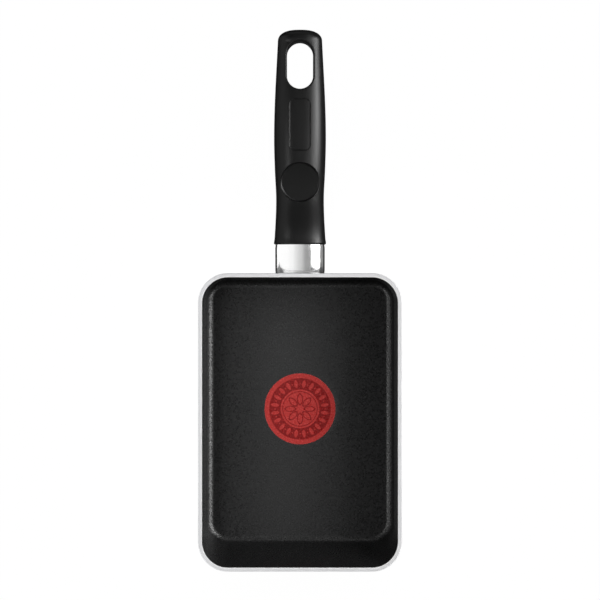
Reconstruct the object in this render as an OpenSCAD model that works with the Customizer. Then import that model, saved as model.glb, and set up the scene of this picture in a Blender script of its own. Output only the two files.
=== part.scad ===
// Small rectangular omelette pan: a pressed aluminium pan with a coating inside and out, and a moulded
// handle held by one long screw on a welded stud, with a polished sleeve between the two.
// The origin is on the resting face, under the middle of the opening. +Z is up, +Y points along the handle.

/* [Pan] */
// Inside width of the opening, at the rim
open_w = 121.4; // [100:0.2:160]
// Inside length of the opening, at the rim
open_l = 180; // [150:0.5:230]
// Height of the rim above the resting face
pan_h = 37; // [34:0.5:50]
// Gauge of the pressed wall
wall = 2.5; // [1.8:0.1:3.5]
// Thickness of the floor
floor_t = 2.5; // [1.8:0.1:4]
// Lean of the two side walls from upright, in degrees
side_lean = 2.5; // [1:0.5:6]
// Lean of the wall that carries the handle, in degrees
back_lean = 2.5; // [1:0.5:6]
// Lean of the front wall, over which the omelette is rolled out, in degrees
front_lean = 21; // [8:1:28]
// Inside radius between the walls and the floor
floor_r = 5; // [4:0.5:9]
// Inside radius of the upright corners at the rim
corner_r = 16.1; // [12:0.1:24]
// Inside radius of the two rear corners at the floor
rear_floor_corner = 7; // [5:0.5:12]
// Inside radius of the two front corners at the floor
front_floor_corner = 9; // [5:0.5:12]

/* [Resting face] */
// Number of turned grooves in the resting face
groove_count = 4; // [0:1:4]
// Radius of the smallest groove
groove_first_r = 15; // [8:1:18]
// Step from one groove to the next
groove_step = 9; // [4:0.5:10]
// Width of a groove
groove_w = 1.2; // [0.6:0.1:2]
// Depth of a groove
groove_depth = 0.4; // [0.2:0.1:0.8]

/* [Coatings] */
// Thickness of the cooking coating
lining_t = 0.2; // [0.1:0.05:0.5]
// Thickness of the outside coating
coat_t = 0.1; // [0.05:0.05:0.3]
// Height of the bare band that the outside coating leaves under the rim
bare_rim = 0.6; // [0.4:0.1:3]
// Diameter of the heat spot in the floor
spot_d = 45; // [25:0.5:60]
// Radial gap between the heat spot and the cooking coating
spot_gap = 0.02; // [0.01:0.01:0.1]
// How far the middle of the heat spot lies behind the middle of the floor
spot_shift = 1.7; // [0:0.1:4]

/* [Handle line] */
// Depth below the rim at which the screw axis meets the wall
mount_drop = 13.6; // [12:0.1:16]
// Rise of the screw axis above level, in degrees
pitch = 11; // [6:1:16]
// How far the tip of the handle is lifted above the screw axis by the curve of the grip
tail_lift = 5; // [0:0.5:7]
// Distance from the wall to the front of the handle, along +Y at the screw axis
ferrule_l = 18.8; // [16:0.1:26]

/* [Sleeve] */
// Outside width of the sleeve
ferrule_w = 30.9; // [27:0.1:34]
// Outside height of the sleeve, square to its axis
ferrule_h = 20; // [18:0.1:22]
// Gauge of the sleeve
ferrule_t = 0.8; // [0.5:0.1:1.5]
// Squareness of the sleeve's section, where 2 is an ellipse
ferrule_power = 2.6; // [2:0.1:4]

/* [Stud] */
// Width of the stud
stud_w = 16; // [13:0.5:20]
// Height of the stud
stud_h = 10; // [9:0.5:12]
// Radius of the stud's edges
stud_r = 2; // [1:0.5:3]
// Length of the stud from the wall, along its axis
stud_l = 14.5; // [12:0.5:17]
// Clearance of the outside coating round the weld flange
weld_gap = 0.5; // [0.2:0.1:1]
// Thickness of the weld flange round the stud's foot
weld_t = 1.2; // [0.8:0.1:2]
// How far the weld flange stands out round the stud
weld_out = 1.2; // [0.5:0.1:2]
// Clearance round the stud where it keys into the handle
key_gap = 0.2; // [0.1:0.05:0.4]
// How far the stud reaches into its pocket in the handle
key_l = 5; // [3:0.5:8]

/* [Handle] */
// Length of the handle along +Y, from its front to its tip
grip_l = 130.6; // [124:0.1:160]
// How far the handle's front stands out round the sleeve
front_step = 1; // [0.2:0.1:2]
// Width at the neck, behind the front
neck_w = 31.6; // [28:0.1:35]
// Width at the waist
waist_w = 29.6; // [27:0.1:34]
// Width just behind the thumb rest
shoulder_w = 31.2; // [28:0.1:36]
// Greatest width of the grip
belly_w = 32; // [28:0.1:38]
// Width where the rounded tip begins
tip_w = 27.2; // [24:0.1:32]
// Distance of the neck from the front
neck_at = 4.5; // [3:0.5:14]
// Distance of the waist from the front
waist_at = 27.5; // [22:0.5:32]
// Distance of the shoulder from the front
shoulder_at = 46.5; // [42:0.5:52]
// Distance of the belly from the front
belly_at = 64; // [60:0.5:75]
// Height of the top over the handle's line at the neck
neck_top = 10.9; // [7:0.1:12]
// Depth of the underside below the handle's line at the neck
neck_under = 10.3; // [8:0.1:11]
// Height of the top over the handle's line at the waist
waist_top = 13.9; // [9:0.1:15]
// Depth of the underside below the handle's line at the waist
waist_under = 8.8; // [7.5:0.1:11]
// Height of the top over the handle's line at the shoulder
shoulder_top = 15.6; // [10:0.1:17]
// Height of the top over the handle's line at the belly
belly_top = 15.1; // [9:0.1:17]
// Depth of the underside below the handle's line at the belly
belly_under = 9; // [8:0.1:12]
// Height of the top over the handle's line where the tip begins
tip_top = 7.4; // [4:0.1:9]
// Depth of the underside below the handle's line where the tip begins
tip_under = 8.2; // [6:0.1:9]
// Length of the rounded tip
tip_l = 7.6; // [5:0.1:10]
// Squareness of the handle's section, where 2 is an ellipse
grip_power = 2.8; // [2:0.1:4]
// Clearance between the handle's spigot and the inside of the sleeve
spigot_gap = 0.15; // [0.1:0.05:0.4]

/* [Hanging eye] */
// Width of the eye
eye_w = 16; // [10:0.5:18]
// Length of the eye along +Y
eye_l = 28.8; // [20:0.1:34]
// Material left between the eye and the tip
eye_web = 7.3; // [6:0.1:12]

/* [Thumb rest] */
// Diameter of the thumb rest
thumb_d = 23.8; // [18:0.2:25]
// Distance of its middle from the front of the handle, along +Y
thumb_at = 37.8; // [34:0.1:42]
// Depth of its flat floor under the top of the handle, at its front and back ends
thumb_depth = 2.4; // [1:0.1:3]

/* [Panel] */
// Width of the plain recessed panel on top of the grip
panel_w = 12.6; // [8:0.2:16]
// Length of the panel along the handle
panel_l = 31; // [20:0.5:36]
// Radius of the panel's corners
panel_r = 3; // [1:0.5:4]
// Depth of the panel
panel_depth = 0.6; // [0.4:0.1:1]
// Distance between the panel and the eye
panel_to_eye = 6.2; // [4:0.1:12]

/* [Screw] */
// Diameter of the handle screw
screw_d = 5; // [4:0.5:6]
// Clearance round the screw in the handle, on the radius
screw_gap = 0.3; // [0.2:0.05:0.6]
// Clearance round the screw in the stud, on the radius
thread_gap = 0.05; // [0.02:0.01:0.1]
// Length of the screw inside the stud
thread_l = 9; // [6:0.5:12]
// Diameter of the screw's head
head_d = 8.6; // [7.5:0.1:9]
// Height of the screw's head
head_h = 3.2; // [2.5:0.1:4]
// Depth of the cross recess in the head
cross_depth = 1.8; // [1:0.1:2.2]
// Width of one arm of the cross recess
cross_w = 1.1; // [0.8:0.1:1.4]
// Diameter of the two washers
washer_d = 9; // [8:0.1:9.4]
// Width of the slit in the spring washer
slit_w = 0.6; // [0.3:0.1:1]
// Thickness of the plain washer
plain_washer_t = 1; // [0.6:0.1:1.5]
// Thickness of the spring washer
spring_washer_t = 1.3; // [1:0.1:1.8]
// Clearance round the washers in the counterbore, on the radius
counterbore_gap = 0.3; // [0.2:0.05:0.5]
// Depth of the counterbore, from the wall of the hanging eye to the washers
counterbore_l = 8; // [7.5:0.5:14]

/* [Hidden] */

corner_steps = 9;    // facets in a quarter corner
fillet_steps = 9;    // facets between floor and wall
bare_steps = 3;      // facets of the fillet that the outside coating leaves bare, next to the resting face
round_fn = 64;
section_steps = 48;  // facets round the handle and the sleeve
ring_gap = 3.2;      // distance between two rings of the handle
tip_steps = 7;       // rings over the rounded tip
tip_power = 2.5;     // squareness of the rounded tip, where 2 is an ellipse
tip_last = 82;       // where the round of the tip turns flat, in degrees
end_slope = 1.3;     // how much steeper than its chord the handle's outline leaves its two ends
past = 5;            // how far a cutter runs past what it cuts
bleed = 0.5;         // how far two shapes of one piece run into each other
thread_run_out = 0.5; // space left in the stud before the screw's end

// The pan's surfaces.
// Each surface is the inside of the wall moved outwards by d, and has its own floor level.

// Run from the flat of the floor out to the surface, at height h over that floor.
function reach(h, lean, r) =
    let (top_of_arc = r * (1 - sin(lean)))
    h < top_of_arc ? sqrt(max(0, 2 * r * h - h * h)) : r * cos(lean) + (h - top_of_arc) * tan(lean);

// How far the surface lies inside its own rim, at height h.
function inset(h, full, lean, r) = reach(full, lean, r) - reach(h, lean, r);

function quarter(cx, cy, r, from, z) =
    [for (i = [0:corner_steps]) let (a = from + 90 * i / corner_steps) [cx + r * cos(a), cy + r * sin(a), z]];

function outline(half_w, back, front, rear_r, front_r, z) = concat(
    quarter(half_w - rear_r, back - rear_r, rear_r, 0, z),
    quarter(rear_r - half_w, back - rear_r, rear_r, 90, z),
    quarter(front_r - half_w, front + front_r, front_r, 180, z),
    quarter(half_w - front_r, front + front_r, front_r, 270, z));

function pan_ring(d, z, z_floor) =
    let (
        full = pan_h - z_floor,
        h = z - z_floor,
        r = floor_r + d,
        side = inset(h, full, side_lean, r),
        share = side / inset(0, full, side_lean, r),
        back = open_l / 2 + d - inset(h, full, back_lean, r),
        front = inset(h, full, front_lean, r) - open_l / 2 - d)
    outline(
        open_w / 2 + d - side, back, front,
        corner_r + d - (corner_r - rear_floor_corner) * share,
        corner_r + d - (corner_r - front_floor_corner) * share,
        z);

// Heights of the rings through the fillet of a surface, over its own floor.
function fillet_heights(r) =
    let (arc = 90 - min(side_lean, back_lean))
    [for (i = [0:fillet_steps]) r * (1 - cos(arc * i / fillet_steps))];

function reversed(list) = [for (i = [len(list) - 1:-1:0]) list[i]];

outer_heights = concat(fillet_heights(floor_r + wall), [pan_h - bare_rim]);
inner_heights = concat(fillet_heights(floor_r), [pan_h - floor_t]);
inner_rings = [for (h = inner_heights) pan_ring(0, floor_t + h, floor_t)];
outer_rings = [for (h = concat(outer_heights, [pan_h])) pan_ring(wall, h, 0)];

flat_back = open_l / 2 - inset(0, pan_h - floor_t, back_lean, floor_r);
flat_front = inset(0, pan_h - floor_t, front_lean, floor_r) - open_l / 2;
floor_mid = (flat_back + flat_front) / 2;
spot_mid = floor_mid + spot_shift;

// Skins.
// Triangles over a stack of rings, each quad cut from the lower to the higher ring the same way round,
// so that two pieces that share a stretch of surface share its triangles.
function quad(a, b, c, d, falls) = falls ? [[a, b, d], [b, c, d]] : [[a, b, c], [a, c, d]];

function skin_faces(rings) = [
    for (i = [0:len(rings) - 2], j = [0:len(rings[0]) - 1])
        let (
            n = len(rings[0]),
            next = (j + 1) % n,
            falls = rings[i + 1][0][2] < rings[i][0][2])
        each quad(i * n + j, (i + 1) * n + j, (i + 1) * n + next, i * n + next, falls)];

// A solid inside a stack of rings that is closed at both ends.
module capped(rings) {
    n = len(rings[0]);
    last = (len(rings) - 1) * n;
    polyhedron(
        points = [for (ring = rings) each ring],
        faces = concat([[for (j = [0:n - 1]) j]], skin_faces(rings), [[for (j = [n - 1:-1:0]) last + j]]));
}

// A solid inside a stack of rings whose last ring leads back to the first.
module looped(rings) {
    n = len(rings[0]);
    count = len(rings) * n;
    polyhedron(
        points = [for (ring = rings) each ring],
        faces = [for (face = skin_faces(concat(rings, [rings[0]]))) [for (k = face) k % count]]);
}

// The handle's line and section.
// The back wall's plane, moved outwards by d from the inside of the wall.
function wall_y(d, z) = open_l / 2 + d - (pan_h - z) * tan(back_lean);

mount_z = pan_h - mount_drop;
wall_at = wall_y(wall, mount_z);
handle_front = wall_at + ferrule_l;
handle_tip = handle_front + grip_l;
eye_back = handle_tip - eye_web;
eye_front = eye_back - eye_l;

function axis_z(y) = mount_z + (y - wall_at) * tan(pitch);
function along(y) = (y - wall_at) / cos(pitch);

// The handle's line leaves the screw axis in a gentle upward curve.
function line_z(y) = axis_z(y) + tail_lift * pow(max(0, y - handle_front) / grip_l, 2);

// Puts its children with their +Z on the screw axis and their +Y downwards.
module on_axis(s = 0) {
    translate([0, wall_at, mount_z]) rotate([pitch - 90, 0, 0]) translate([0, 0, s]) children();
}

tip_from = grip_l - tip_l;
seat_s = along(eye_front) - counterbore_l;
screw_end = stud_l - thread_l;
head_s = seat_s + plain_washer_t + spring_washer_t;
counterbore_r = max(head_d, washer_d) / 2 + counterbore_gap;
spigot_s = stud_l - key_l;

// Each row: distance from the front, half width, height of the top and depth of the underside.
front_half_h = ferrule_h / 2 / cos(pitch) + front_step;
stations = [
    [0, ferrule_w / 2 + front_step, front_half_h, front_half_h],
    [neck_at, neck_w / 2, neck_top, neck_under],
    [waist_at, waist_w / 2, waist_top, waist_under],
    [shoulder_at, shoulder_w / 2, shoulder_top, (waist_under + belly_under) / 2],
    [belly_at, belly_w / 2, belly_top, belly_under],
    [tip_from, tip_w / 2, tip_top, tip_under]];

function chord(i, c) = (stations[i + 1][c] - stations[i][c]) / (stations[i + 1][0] - stations[i][0]);

function station_slope(i, c) =
    i == 0 || i == len(stations) - 1
        ? end_slope * chord(i == 0 ? 0 : i - 1, c)
        : let (before = chord(i - 1, c), after = chord(i, c))
          before * after <= 0 ? 0 : 2 * before * after / (before + after);

function station_of(t, i = 0) = i == len(stations) - 2 || t <= stations[i + 1][0] ? i : station_of(t, i + 1);

// Smooth value of column c at distance t from the front.
function grip(t, c) =
    let (
        i = station_of(t),
        step = stations[i + 1][0] - stations[i][0],
        u = (t - stations[i][0]) / step)
    (2 * pow(u, 3) - 3 * u * u + 1) * stations[i][c]
        + (pow(u, 3) - 2 * u * u + u) * step * station_slope(i, c)
        + (3 * u * u - 2 * pow(u, 3)) * stations[i + 1][c]
        + (pow(u, 3) - u * u) * step * station_slope(i + 1, c);

// Height of the top of the grip over the resting face.
function grip_top(y) = line_z(y) + grip(y - handle_front, 2);

function signed_power(v, p) = sign(v) * pow(abs(v), p);

// Ring of the handle in an upright plane, at distance t from the front, shrunk by k towards its middle.
function grip_ring(t, at, k) =
    let (
        half = grip(t, 1),
        top = grip(t, 2),
        under = grip(t, 3),
        middle = line_z(handle_front + at) + (top - under) / 2,
        half_h = (top + under) / 2)
    [for (i = [0:section_steps - 1])
        let (a = 360 * i / section_steps)
        [-k * half * signed_power(cos(a), 2 / grip_power),
         handle_front + at,
         middle + k * half_h * signed_power(sin(a), 2 / grip_power)]];

grip_rings = floor(tip_from / ring_gap);
handle_rings = concat(
    [for (i = [0:grip_rings]) let (t = tip_from * i / grip_rings) grip_ring(t, t, 1)],
    [for (i = [1:tip_steps])
        let (a = tip_last * i / tip_steps)
        grip_ring(tip_from, tip_from + tip_l * pow(sin(a), 2 / tip_power), pow(cos(a), 2 / tip_power))]);

function super_ellipse(a, b, power) = [
    for (i = [0:section_steps - 1])
        let (t = 360 * i / section_steps)
        [a * signed_power(cos(t), 2 / power), b * signed_power(sin(t), 2 / power)]];

// Puts its children on a slanting plane that lies equally deep under the top of the handle at both ends
// of a stretch of length l round y.
module sunk(y, l, depth) {
    front = grip_top(y - l / 2);
    back = grip_top(y + l / 2);
    translate([0, y, (front + back) / 2 - depth]) rotate([atan((back - front) / l), 0, 0]) children();
}

// A rectangle with rounded corners, round the middle.
module rounded_bar(w, h, r) {
    square([w - 2 * r, h], center = true);
    square([w, h - 2 * r], center = true);
    for (x = [-1, 1], y = [-1, 1])
        translate([x * (w / 2 - r), y * (h / 2 - r)]) circle(r = r, $fn = round_fn);
}

// A flat ring on the plane z = 0.
module ring(outer_r, inner_r, t) {
    difference() {
        cylinder(r = outer_r, h = t, $fn = round_fn);
        translate([0, 0, -past]) cylinder(r = inner_r, h = t + 2 * past, $fn = round_fn);
    }
}

// Everything in front of the back wall's surface at offset d, for cutting.
module before_wall(d) {
    size = 2 * pan_h;
    translate([0, open_l / 2 + d, pan_h]) rotate([-back_lean, 0, 0])
        translate([-size, -size, -2 * size]) cube([2 * size, size, 3 * size]);
}

// Everything behind the upright plane at y, for cutting.
module behind(y) {
    size = 2 * pan_h;
    translate([-size, y, -size]) cube([2 * size, 3 * size, 4 * size]);
}

// The stud's outline where it meets the wall, wider all round by grow, and as deep as t on both sides of it.
module stud_foot(t, grow) {
    foot_h = stud_h / cos(pitch + back_lean);
    translate([0, wall_at, mount_z]) rotate([-90 - back_lean, 0, 0]) translate([0, 0, -t])
        linear_extrude(2 * t) rounded_bar(stud_w + 2 * grow, foot_h + 2 * grow, stud_r + grow);
}

module ferrule_bar(shrink, s0, s1) {
    on_axis(s0) linear_extrude(s1 - s0)
        polygon(super_ellipse(ferrule_w / 2 - shrink, ferrule_h / 2 - shrink, ferrule_power));
}

// The pieces.
module pan_body() {
    color("silver") difference() {
        capped(concat(outer_rings, reversed(inner_rings)));
        if (groove_count > 0)
            for (i = [0:groove_count - 1])
                translate([0, floor_mid, -past]) ring(
                    groove_first_r + i * groove_step + groove_w / 2,
                    groove_first_r + i * groove_step - groove_w / 2,
                    past + groove_depth);
    }
}

module cooking_coating() {
    lined_floor = floor_t + lining_t;
    heights = concat(fillet_heights(floor_r - lining_t), [pan_h - lined_floor]);
    lining_rings = [for (h = heights) pan_ring(-lining_t, lined_floor + h, lined_floor)];
    color("#2d2d2d") difference() {
        capped(concat(inner_rings, reversed(lining_rings)));
        translate([0, spot_mid, floor_t - past])
            cylinder(d = spot_d + 2 * spot_gap, h = lining_t + 2 * past, $fn = round_fn);
    }
}

module heat_spot() {
    color("#b03436") translate([0, spot_mid, floor_t]) cylinder(d = spot_d, h = lining_t, $fn = round_fn);
}

module outside_coating() {
    heights = [for (i = [bare_steps:len(outer_heights) - 1]) outer_heights[i]];
    inside = [for (h = heights) pan_ring(wall, h, 0)];
    outside = [for (h = heights) pan_ring(wall + coat_t, h, -coat_t)];
    color("#262626") difference() {
        looped(concat(outside, reversed(inside)));
        stud_foot(past, weld_out + weld_gap);
    }
}

module handle_stud() {
    color("lightgray") difference() {
        union() {
            on_axis(-past) linear_extrude(past + stud_l) rounded_bar(stud_w, stud_h, stud_r);
            stud_foot(weld_t, weld_out);
        }
        before_wall(wall);
        on_axis(screw_end - thread_run_out)
            cylinder(r = screw_d / 2 + thread_gap, h = thread_l + past, $fn = round_fn);
    }
}

module ferrule() {
    color("gainsboro") difference() {
        ferrule_bar(0, -past, along(handle_front) + 2 * past);
        ferrule_bar(ferrule_t, -2 * past, along(handle_front) + 3 * past);
        before_wall(wall + coat_t);
        behind(handle_front);
    }
}

module handle() {
    eye_top = axis_z(handle_tip) + 4 * past;
    panel_y = eye_front - panel_to_eye - panel_l / 2;
    color("#232323") difference() {
        union() {
            capped(handle_rings);
            ferrule_bar(ferrule_t + spigot_gap, spigot_s, along(handle_front) + past);
        }
        // Hanging eye.
        for (y = [eye_front + eye_w / 2, eye_back - eye_w / 2])
            translate([0, y, 0]) cylinder(d = eye_w, h = eye_top, $fn = round_fn);
        translate([-eye_w / 2, eye_front + eye_w / 2, 0])
            cube([eye_w, eye_l - eye_w, eye_top]);
        // Way for the screw, and its counterbore.
        on_axis(spigot_s - past)
            cylinder(r = screw_d / 2 + screw_gap, h = seat_s - spigot_s + 2 * past, $fn = round_fn);
        on_axis(seat_s)
            cylinder(r = counterbore_r, h = counterbore_l + eye_w / 2, $fn = round_fn);
        // Pocket that the stud keys into.
        on_axis(spigot_s - past) linear_extrude(past + key_l + key_gap)
            rounded_bar(stud_w + 2 * key_gap, stud_h + 2 * key_gap, stud_r + key_gap);
        // Thumb rest, round as seen from above.
        intersection() {
            translate([0, handle_front + thumb_at, 0]) cylinder(d = thumb_d, h = eye_top, $fn = round_fn);
            sunk(handle_front + thumb_at, thumb_d, thumb_depth)
                translate([-thumb_d, -thumb_d, 0]) cube([2 * thumb_d, 2 * thumb_d, 4 * past]);
        }
        // Plain panel.
        sunk(panel_y, panel_l, panel_depth)
            linear_extrude(2 * past) rounded_bar(panel_w, panel_l, panel_r);
    }
}

module handle_screw() {
    color("silver") difference() {
        union() {
            on_axis(screw_end) cylinder(d = screw_d, h = head_s + bleed - screw_end, $fn = round_fn);
            on_axis(head_s) cylinder(d = head_d, h = head_h, $fn = round_fn);
        }
        for (turn = [0, 90])
            on_axis(head_s + head_h - cross_depth) rotate([0, 0, turn])
                translate([-head_d / 4, -cross_w / 2, 0]) cube([head_d / 2, cross_w, past]);
    }
}

module spring_washer() {
    color("silver") on_axis(seat_s + plain_washer_t) difference() {
        ring(washer_d / 2, screw_d / 2 + screw_gap, spring_washer_t);
        translate([0, -slit_w / 2, -past]) cube([washer_d, slit_w, 3 * past]);
    }
}

module plain_washer() {
    color("silver") on_axis(seat_s) ring(washer_d / 2, screw_d / 2 + screw_gap, plain_washer_t);
}

pan_body();
cooking_coating();
heat_spot();
outside_coating();
handle_stud();
ferrule();
handle();
handle_screw();
spring_washer();
plain_washer();
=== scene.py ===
import math

import bmesh
import bpy
import numpy as np
from mathutils import Matrix, Vector


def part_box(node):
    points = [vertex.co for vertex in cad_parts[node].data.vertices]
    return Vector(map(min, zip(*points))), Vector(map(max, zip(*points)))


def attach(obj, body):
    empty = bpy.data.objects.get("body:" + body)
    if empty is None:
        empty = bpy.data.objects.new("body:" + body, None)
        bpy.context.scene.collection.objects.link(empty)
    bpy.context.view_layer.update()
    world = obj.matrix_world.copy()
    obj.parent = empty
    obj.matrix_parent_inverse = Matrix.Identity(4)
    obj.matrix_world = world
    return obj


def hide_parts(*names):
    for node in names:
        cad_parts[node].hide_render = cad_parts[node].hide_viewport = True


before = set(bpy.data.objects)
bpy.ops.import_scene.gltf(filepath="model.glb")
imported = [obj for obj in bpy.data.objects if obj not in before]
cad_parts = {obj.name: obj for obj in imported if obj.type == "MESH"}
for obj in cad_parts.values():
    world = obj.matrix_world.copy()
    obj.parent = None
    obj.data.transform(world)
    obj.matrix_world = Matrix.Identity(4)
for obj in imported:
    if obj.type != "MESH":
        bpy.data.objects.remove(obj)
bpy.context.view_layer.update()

# Sizes are in millimetres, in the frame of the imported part: +Z up, +Y along the handle.
MM = 0.001

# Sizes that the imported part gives
body_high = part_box("pan_body")[1] / MM
lining_low, lining_high = (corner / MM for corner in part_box("cooking_coating"))
spot_low, spot_high = (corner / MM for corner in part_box("heat_spot"))
sleeve_low, sleeve_high = (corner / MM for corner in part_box("ferrule"))
grip_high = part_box("handle")[1] / MM
PAN_H = body_high.z
OPEN_W = lining_high.x - lining_low.x
OPEN_L = lining_high.y - lining_low.y
WALL = body_high.x - lining_high.x
FLOOR_T = lining_low.z
LINING_T = spot_high.z - spot_low.z
SPOT_R = (spot_high.x - spot_low.x) / 2
SPOT_MID = (spot_low.y + spot_high.y) / 2
SLEEVE_W = sleeve_high.x - sleeve_low.x
HANDLE_FRONT = sleeve_high.y
HANDLE_TIP = grip_high.y

# Pan
SIDE_LEAN = math.radians(2.5)
BACK_LEAN = math.radians(2.5)
FRONT_LEAN = math.radians(21)
FLOOR_R = 5
CORNER_R = 16.1
REAR_FLOOR_CORNER = 7
FRONT_FLOOR_CORNER = 9
SPOT_SHIFT = 1.7     # how far the spot's middle lies behind the floor's middle
FLOOR_MID = SPOT_MID - SPOT_SHIFT
GROOVE_RADII = (15, 24, 33, 42)
GROOVE_W = 1.2
GROOVE_DEPTH = 0.4
GROOVE_SOFT = 0.15   # width of each rounding of a groove's edges
BASE_INNER_R = 8     # radius of a ring inside the innermost groove
MIDDLE_R = 2         # radius of the innermost ring of the floor and of the resting face
COAT_T = 0.1
BARE_RIM = 0.6
BARE_FOOT = 0.95     # height over the resting face at which the outside coating starts
RIM_EDGE = 0.15      # rounding of the rim's outer edge
RIM_LIP = 0.12       # rounding of the rim's inner edge
RIM_BEVEL_W = 0.7    # width of the bright bevel next to the opening
RIM_BEVEL_DROP = 0.05
BEVEL_SOFT = 0.04    # half width of the rounding between the rim's flat and its bevel
BEVEL_SOFT_DROP = 0.004
INSIDE_STOP = 1      # how far under the rim's top the rings of the bare inside wall end
SKIN_GAP = 0.01      # air between a coating and the metal under it
SPOT_GAP = 0.02      # air round the red spot
LINING_LIP_H = 0.06  # height of the rounded top edge of the inside coating
COAT_LIP_H = 0.05    # height of the rounded top edge of the outside coating
LIP_RINGS = ((0.75, 0.02), (0.3, 0))    # share of the coating's thickness, and drop under its top
WINDOW_REACH = 4     # how far the cutter of the coating's window reaches to each side of the wall

# Slots of the pan's materials; its first slot is the rim's
BEVEL_SLOT = 1
BASE_SLOT = 2
LIP_SLOT = 3
BEVEL_MARGIN = 0.1   # how far under the bevel a face may lie and still be painted with it

# Handle line
MOUNT_DROP = 13.6
PITCH = math.radians(11)
TAIL_LIFT = 5
MOUNT_Z = PAN_H - MOUNT_DROP
WALL_Y = OPEN_L / 2 + WALL - MOUNT_DROP * math.tan(BACK_LEAN)
GRIP_L = HANDLE_TIP - HANDLE_FRONT

# Sleeve and stud
SLEEVE_H = 20
SLEEVE_T = 0.8
SLEEVE_POWER = 2.6
SLEEVE_EDGE = 0.3
STUD_W = 16
STUD_H = 10
STUD_R = 2
STUD_L = 14.5
KEY_GAP = 0.2
KEY_L = 5
SPIGOT_GAP = 0.15
FLANGE_OUT = 1.2
FLANGE_GAP = 0.5

# Handle
GRIP_POWER = 2.8
FRONT_STEP = 1
TIP_L = 7.6
TIP_POWER = 2.5
END_SLOPE = 1.3
FRONT_HALF_H = SLEEVE_H / 2 / math.cos(PITCH) + FRONT_STEP
# Each row: distance from the front, half width, height of the top and depth of the underside
NECK = (4.5, 15.8, 10.9, 10.3)
WAIST = (27.5, 14.8, 13.9, 8.8)
SHOULDER = (46.5, 15.6, 15.6, 8.9)
BELLY = (64, 16, 15.1, 9)
STATIONS = np.array([
    (0, SLEEVE_W / 2 + FRONT_STEP, FRONT_HALF_H, FRONT_HALF_H),
    NECK,
    WAIST,
    SHOULDER,
    BELLY,
    (GRIP_L - TIP_L, 13.6, 7.35, 8.2)])
EYE_W = 16
EYE_L = 28.8
EYE_WEB = 7.3
EYE_BACK = HANDLE_TIP - EYE_WEB
EYE_FRONT = EYE_BACK - EYE_L
THUMB_R = 11.9
THUMB_AT = 37.8
THUMB_DEPTH = 2.4
THUMB_SAG = 0.35     # how far the middle of the thumb rest's floor dips along the handle
PANEL_W = 12.6
PANEL_L = 31
PANEL_R = 3
PANEL_DEPTH = 0.28
PANEL_TO_EYE = 6.2
SCREW_WAY_R = 2.8
COUNTERBORE_R = 4.8
COUNTERBORE_L = 8
FRONT_EDGE = 0.8
EYE_EDGE = 1.2
THUMB_EDGE = 0.35
THUMB_FOOT = 0.9
PANEL_EDGE = 0.15
PANEL_FOOT = 0.2
BORE_EDGE = 0.3
SPIGOT_OVERLAP = 2   # how far the spigot's shape runs on into the grip
WAY_OVERLAP = 1      # how far the screw's way runs on into the counterbore
FAR_OFF = 99         # distance given where the panel's shape doesn't apply

# Fineness of the meshes
CORNER_STEPS = 20
SIDE_STEPS = 50
END_STEPS = 34
FILLET_STEPS = 24
WALL_STEPS = 7
EDGE_STEPS = 5
RIM_STEPS = 3
FLOOR_RINGS = 10
SHELL_FLOOR_RINGS = 6
BASE_RINGS = 5
WINDOW_POINTS = 48
SLEEVE_POINTS = 240
SLEEVE_STEPS = 8
GRID = 0.45          # spacing of the grid on which the handle's surface is found
SIDE_CELLS = 3       # cells of the grid past the handle's sides and ends
HEIGHT_CELLS = 4     # cells of the grid past its top and underside
FIT_ROUNDS = 3       # times that the points are moved onto the surface
LEVEL_STEP = 0.02    # step over which the slope of the grip's level is taken
LEAST_LEVEL_SLOPE = 0.02
SLOPE_STEP = 0.01    # step over which the slope of a distance is taken
LEAST_SLOPE = 0.2
TINY = 1e-9
JOIN_REACH = 1e-3    # points that lie nearer than this are one
LARGE_FACE_WEIGHT = 90    # how much more a large face counts in the shading, up to 100

# Red spot
BAND_R = 19.5        # inner radius of the light outer band
CENTRE_R = 12.3      # radius of the light disc in the middle
SPOT_SINK = 0.02     # how far the dark ring lies under the light parts
MARK_RISE = 0.02     # how far the dark lines stand over the light disc
PLATE_ROOT = 0.05    # how far a plate reaches down into what it lies on
ROUND_POINTS = 160   # points round the spot and its band
DISC_POINTS = 120
DOT_POINTS = 16
LEAF_STEPS = 14
LEAF_POWER = 1.3     # a higher power gives a leaf sharper points
MARK_COUNT = 20      # leaves in the dark ring, and dots between them
MARK_LEAF = (2.5, 1.15)    # half length and half width
DOT_R = 0.45
PETAL_COUNT = 8
PETAL_R = 6.1        # distance of a petal's middle from the spot's middle
PETAL_OUTER = (3.9, 2.0)
PETAL_INNER = (2.9, 1.4)
DISC_LINE = (11.2, 10.7)   # outer and inner radius of the line round the petals

# Colours of the red spot, each with the colour of its flecks
SPOT_COLOURS = {
    "dark": ((0.178, 0.003, 0.003), (0.3, 0.012, 0.011)),
    "light": ((0.37, 0.025, 0.022), (0.5, 0.05, 0.045))}
SPOT_GLOSS = 0.24

# Surface of the cooking coating, with noise in features per metre
FLECKS = 1100
FLECK_FROM = 0.58    # level of the noise at which a fleck begins
FLECK_BLEND = 0.08
GRAINS = 900
GRAIN_FROM = 0.3
GRAIN_TO = 0.7
FLOOR_ROUGHNESS = (0.235, 0.385)
WALL_ROUGHNESS = (0.22, 0.44)
PEEL = 1000
PEEL_DEPTH = 0.3
FLOOR_PEEL = 0.12    # share of the orange-peel's depth that the flat floor shows
FLAT_TO = 0.02       # height over the floor up to which a point counts as flat
RISEN_FROM = 0.15    # height over the floor from which a point counts as wall

# Surface of the bare aluminium of the rim
PATCH_SHADE = 0.93   # how dark its patches are, against the rest
ROUGHNESS_SPREAD = 0.05

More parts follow.
